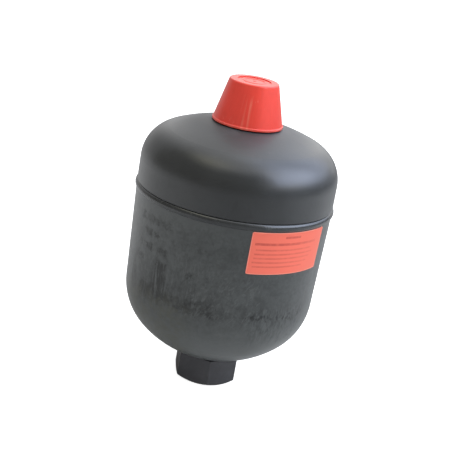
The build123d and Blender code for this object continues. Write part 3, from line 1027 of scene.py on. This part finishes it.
class ACCUMULATOR_OT_mould_cap(bpy.types.Operator):
    """Dress the protective cap and raise the plain ring in its recess"""

    bl_idname = "accumulator.mould_cap"
    bl_label = "Mould the protective cap"

    def execute(self, context):
        settings = context.scene.accumulator_cap
        plastic = cap_plastic(settings)
        dress("protective_cap", plastic)

        # the floor of the recess is the lowest level just under the top, within the rim
        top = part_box("protective_cap")[1].z
        cap = merged_copy("protective_cap")
        floor = min(v.co.z for v in cap.verts if v.co.z > top - 2.0 * MM and v.co.xy.length < 15.0 * MM)
        cap.free()
        sunk = floor - 0.2 * MM
        crest = floor + settings.relief
        inner, outer, bevel, foot = 8.2 * MM, 9.8 * MM, 0.25 * MM, floor + 0.05 * MM
        ring = [(inner, sunk), (outer, sunk), (outer, foot)]
        ring += [(outer - bevel, crest), (inner + bevel, crest), (inner, foot)]
        turned_ring("cap_relief_ring", ring, plastic, "cap", "cap_plastic", Segments=96)

        edge, brim, dimple, lowered = 1.5 * MM, 1.1 * MM, 0.7 * MM, floor + 0.1 * MM
        gate = [(0.0, sunk), (edge, sunk), (edge, lowered)]
        gate += [(brim, crest), (dimple, floor + 0.12 * MM), (0.0, lowered)]
        turned_ring("cap_gate_mark", gate, plastic, "cap", "cap_plastic", Segments=40)
        return {"FINISHED"}


class ACCUMULATOR_OT_print_label(bpy.types.Operator):
    """Dress the film label with its plain bars"""

    bl_idname = "accumulator.print_label"
    bl_label = "Print the label"

    def execute(self, context):
        dress("label", label_film(context.scene.accumulator_label))
        return {"FINISHED"}


# ---------------------------------------------------------------------------
# stage

# radius and steps of the screens, and each one's colour, first and last bearing from the camera, height up to
# which it is solid, and height at which it has thinned out
SCREEN_RADIUS, SCREEN_STEPS = 1.75, 40
SCREENS = {
    "dark_screen": ((0.24, 0.22, 0.17), -112.0, 29.0, 1.9, 3.0),
    "grey_screen": ((0.42, 0.43, 0.45), 29.0, 140.0, 0.3, 0.8),
}

FLOOR_SHADE = (0.74, 0.74, 0.74)
# glow that takes the floor to white where no shadow falls on it
FLOOR_GLOW = 0.86

# patches of sky that only mirror rays see: bearing from the camera, elevation, outer and inner angle,
# strength
SKY_PATCHES = {
    "cool": (108.0, 42.0, 50.0, 20.0, 1.8),
    "warm": (-62.0, 50.0, 34.0, 8.0, 1.3),
    "high": (180.0, 50.0, 50.0, 12.0, 0.8),
    "zenith": (0.0, 85.0, 40.0, 15.0, 0.7),
    "low": (180.0, 20.0, 28.0, 8.0, 0.4),
    "shade": (-125.0, 40.0, 62.0, 26.0, -0.4),
}
WHITE, WINDOW_BLUE, WARM_TINT = (1.0, 1.0, 1.0), (0.74, 0.83, 1.05), (1.0, 0.96, 0.74)

# point that every lamp faces
LIT_POINT = Vector((0.0, 0.0, 0.15))


def around(bearing, distance, height):
    """A point at a bearing from the camera's."""
    angle = math.radians(VIEW_BEARING + bearing)
    return Vector((distance * math.sin(angle), -distance * math.cos(angle), height))


def soft_lamp(name, place, width, length, power, colour):
    """A rectangular lamp that shines on the vessel and shows in no mirror."""
    data = bpy.data.lights.new(name, "AREA")
    data.shape = "RECTANGLE"
    data.size = width
    data.size_y = length
    data.energy = power
    data.color = colour
    lamp = bpy.data.objects.new(name, data)
    lamp.location = place
    lamp.rotation_mode = "QUATERNION"
    lamp.rotation_quaternion = (LIT_POINT - Vector(place)).to_track_quat("-Z", "Y")
    lamp.visible_camera = False
    lamp.visible_glossy = False
    bpy.context.scene.collection.objects.link(lamp)


def placed(mesh, name, material):
    """Turns a bmesh into an object of the scene."""
    data = bpy.data.meshes.new(name)
    mesh.to_mesh(data)
    mesh.free()
    data.materials.append(material)
    piece = bpy.data.objects.new(name, data)
    bpy.context.scene.collection.objects.link(piece)
    return piece


def floor_side(tree, place, bearing, low, high):
    """1 on the part of the floor that lies at a bearing, fading to 0 round the vessel."""
    aside = tree.node("ShaderNodeVectorMath", {"operation": "NORMALIZE"}, {0: place})
    return tree.rise(tree.cosine(aside, around(bearing, 1.0, 0.0)), low, high)


def pale_floor():
    """White to the camera but for shadows, and dimmer on some sides in what the paint mirrors."""
    material = bpy.data.materials.new("pale_floor")
    material.use_nodes = True
    tree = Tree(material.node_tree)
    camera_rays, mirror_rays = tree.ray_kinds()
    place = tree.node("ShaderNodeTexCoord", output="Object")
    out = tree.node("ShaderNodeVectorMath", {"operation": "LENGTH"}, {0: place}, "Value")
    near = tree.node("ShaderNodeMapRange", inputs={"Value": out, "From Min": 0.5, "From Max": 0.15})
    front = floor_side(tree, place, 8.0, 0.15, 0.9)
    left = floor_side(tree, place, -92.0, 0.1, 0.8)
    back = floor_side(tree, place, 180.0, 0.45, 0.9)
    right = floor_side(tree, place, 45.0, -0.4, 0.8)
    dimming = 1.0 - (1.0 - near * 0.25) * (1.0 - front * 0.4) * (1.0 - back * 0.35)
    dimmed = tree.mix(mirror_rays * dimming, FLOOR_SHADE, (0.0, 0.0, 0.0))
    pale = tree.node("ShaderNodeBsdfDiffuse", inputs={"Color": dimmed})
    bounce = (1.0 - camera_rays.larger(mirror_rays)) * near * (0.15 + right * 0.35)
    mirrored = mirror_rays * (left * (1.0 - near) * 0.3 + near * right * 0.12)
    glow = tree.node("ShaderNodeEmission", inputs={"Strength": camera_rays * FLOOR_GLOW + mirrored + bounce})
    both = tree.node("ShaderNodeAddShader", inputs={0: pale, 1: glow})
    tree.node("ShaderNodeOutputMaterial", inputs={"Surface": both})
    return material


def screen_cloth(name, colour, full_height, top):
    """Cloth that is solid up to its full height and thins out towards its top."""
    finish = Finish(name + "_cloth")
    cloth = finish.node("ShaderNodeBsdfDiffuse", inputs={"Color": (*colour, 1.0)})
    clear = finish.node("ShaderNodeBsdfTransparent")
    thinning = finish.rise(finish.z, full_height, top)
    both = finish.node("ShaderNodeMixShader", inputs={0: thinning, 1: cloth, 2: clear})
    finish.node("ShaderNodeOutputMaterial", inputs={"Surface": both})
    return finish.material


def sky_window(tree, bearing, sides, rise, fall):
    """1 inside an upright patch of sky. Each edge fades between two angles in degrees, from 0 to 1."""
    along = tree.node("ShaderNodeTexCoord", output="Generated")
    aside = tree.cosine(along, around(bearing + 90.0, 1.0, 0.0))
    ahead = tree.cosine(along, around(bearing, 1.0, 0.0))
    upward = tree.cosine(along, (0.0, 0.0, 1.0))
    across = aside.math("ARCTAN2", ahead) * math.degrees(1.0)
    height = upward.math("ARCSINE") * math.degrees(1.0)
    left, right = sides
    wide = tree.rise(across, *left) * tree.rise(across, *right)
    return wide * tree.rise(height, *rise) * tree.rise(height, *fall)


def sky_patch(tree, bearing, elevation, outer, inner):
    """1 within an angle of a direction in the sky, fading to 0 at the outer angle."""
    rise = math.radians(elevation)
    along = tree.node("ShaderNodeTexCoord", output="Generated")
    share = tree.cosine(along, around(bearing, math.cos(rise), math.sin(rise)))
    return tree.rise(share, math.cos(math.radians(outer)), math.cos(math.radians(inner)))


class ACCUMULATOR_OT_set_stage(bpy.types.Operator):
    """Set the floor, the screens, the lamps, the world and the camera"""

    bl_idname = "accumulator.set_stage"
    bl_label = "Set the stage"

    def execute(self, context):
        settings = context.scene.accumulator_studio
        self.lay_floor(settings)
        self.stand_screens()
        self.light_world(context.scene)
        self.hang_lamps(settings)
        self.aim_camera(context.scene, settings)
        context.scene.view_settings.view_transform = "Standard"
        return {"FINISHED"}

    def lay_floor(self, settings):
        mesh = bmesh.new()
        bmesh.ops.create_circle(mesh, cap_ends=True, segments=96, radius=settings.floor_radius)
        floor = placed(mesh, "studio_floor", pale_floor())

    def stand_screens(self):
        """Curved cloth screens, out of every view, that the paint mirrors: a tall dark one behind the camera
        and a low grey one on the label's side."""
        for name, (colour, first, last, full_height, top) in SCREENS.items():
            mesh = bmesh.new()
            rows = []
            for step in range(SCREEN_STEPS + 1):
                bearing = first + (last - first) * step / SCREEN_STEPS
                rows.append([mesh.verts.new(around(bearing, SCREEN_RADIUS, height)) for height in (0.0, top)])
            for left, right in zip(rows, rows[1:]):
                mesh.faces.new((left[0], right[0], right[1], left[1]))
            screen = placed(mesh, name, screen_cloth(name, colour, full_height, top))
            screen.visible_camera = False
            screen.visible_diffuse = False

    def light_world(self, scene):
        """White to the camera. Mirror rays also see a blue window and soft patches of sky."""
        world = bpy.data.worlds.new("studio")
        world.use_nodes = True
        scene.world = world
        tree = Tree(world.node_tree)
        camera_rays, mirror_rays = tree.ray_kinds()
        window = sky_window(tree, 80.0, ((-36.0, -28.0), (52.0, 14.0)), (10.0, 32.0), (80.0, 38.0))
        mirrored = window * 5.0
        patches = {}
        for name, (*place, strength) in SKY_PATCHES.items():
            patches[name] = sky_patch(tree, *place)
            mirrored = mirrored + patches[name] * strength
        ambient, seen = 0.55, 1.0
        strength = ambient + (seen - ambient) * camera_rays.larger(mirror_rays) + mirror_rays * mirrored
        tint = tree.mix(patches["cool"].larger(window) * mirror_rays, WHITE, WINDOW_BLUE)
        tint = tree.mix(patches["warm"] * mirror_rays, tint, WARM_TINT)
        sky = tree.node("ShaderNodeBackground", inputs={"Color": tint, "Strength": strength})
        tree.node("ShaderNodeOutputWorld", inputs={"Surface": sky})

    def hang_lamps(self, settings):
        # name, place, width, length, power, colour
        lamps = (
            ("window", around(80.0, 1.25, 1.2), 1.15, 0.8, settings.window_power, (0.82, 0.9, 1.0)),
            ("high_window", around(150.0, 1.3, 1.4), 1.2, 0.9, settings.window_power * 0.2, (0.86, 0.92, 1.0)),
            ("overhead", (0.0, 0.0, 2.2), 2.4, 2.4, settings.overhead_power, WHITE),
            ("olive_reflector", around(-24.0, 1.45, 0.95), 0.5, 0.35, 0.6, (1.0, 0.9, 0.5)),
        )
        for lamp in lamps:
            soft_lamp(*lamp)

    def aim_camera(self, scene, settings):
        circled = Vector((0.0, 0.0, 0.14735))
        aim = Vector((0.0002, -0.00015, 0.13753))
        flat = settings.distance * math.cos(settings.elevation)
        data = bpy.data.cameras.new("camera")
        data.lens = settings.lens
        data.sensor_width = 36.0
        camera = bpy.data.objects.new("camera", data)
        camera.location = around(0.0, flat, circled.z + settings.distance * math.sin(settings.elevation))
        camera.rotation_mode = "QUATERNION"
        level = (aim - camera.location).to_track_quat("-Z", "Y")
        camera.rotation_quaternion = level @ Quaternion((0.0, 0.0, 1.0), settings.roll)
        bpy.context.scene.collection.objects.link(camera)
        scene.camera = camera


PIECE_OPERATORS = (
    ACCUMULATOR_OT_paint_shells,
    ACCUMULATOR_OT_lay_welds,
    ACCUMULATOR_OT_cut_port,
    ACCUMULATOR_OT_finish_metal,
    ACCUMULATOR_OT_mould_rubber,
    ACCUMULATOR_OT_mould_cap,
    ACCUMULATOR_OT_print_label,
    ACCUMULATOR_OT_set_stage,
)

SETTINGS = (
    ("accumulator_shell", ShellPaintSettings),
    ("accumulator_weld", WeldSettings),
    ("accumulator_port", PortSettings),
    ("accumulator_cap", CapSettings),
    ("accumulator_label", LabelSettings),
    ("accumulator_studio", StudioSettings),
)


class ACCUMULATOR_PT_panel(bpy.types.Panel):
    """Lists the accumulator's settings and operators"""

    bl_idname = "ACCUMULATOR_PT_panel"
    bl_label = "Accumulator"
    bl_space_type = "VIEW_3D"
    bl_region_type = "UI"
    bl_category = "Accumulator"

    def draw(self, context):
        for name, group in SETTINGS:
            box = self.layout.box()
            for key in group.__annotations__:
                box.prop(getattr(context.scene, name), key)
        for operator in PIECE_OPERATORS:
            self.layout.operator(operator.bl_idname)


def register():
    for name, group in SETTINGS:
        bpy.utils.register_class(group)
        setattr(bpy.types.Scene, name, PointerProperty(type=group))
    for operator in PIECE_OPERATORS:
        bpy.utils.register_class(operator)
    bpy.utils.register_class(ACCUMULATOR_PT_panel)


def unregister():
    bpy.utils.unregister_class(ACCUMULATOR_PT_panel)
    for operator in reversed(PIECE_OPERATORS):
        bpy.utils.unregister_class(operator)
    for name, group in reversed(SETTINGS):
        delattr(bpy.types.Scene, name)
        bpy.utils.unregister_class(group)


def main():
    register()
    for operator in PIECE_OPERATORS:
        family, name = operator.bl_idname.split(".")
        getattr(getattr(bpy.ops, family), name)()


if __name__ == "__main__":
    main()
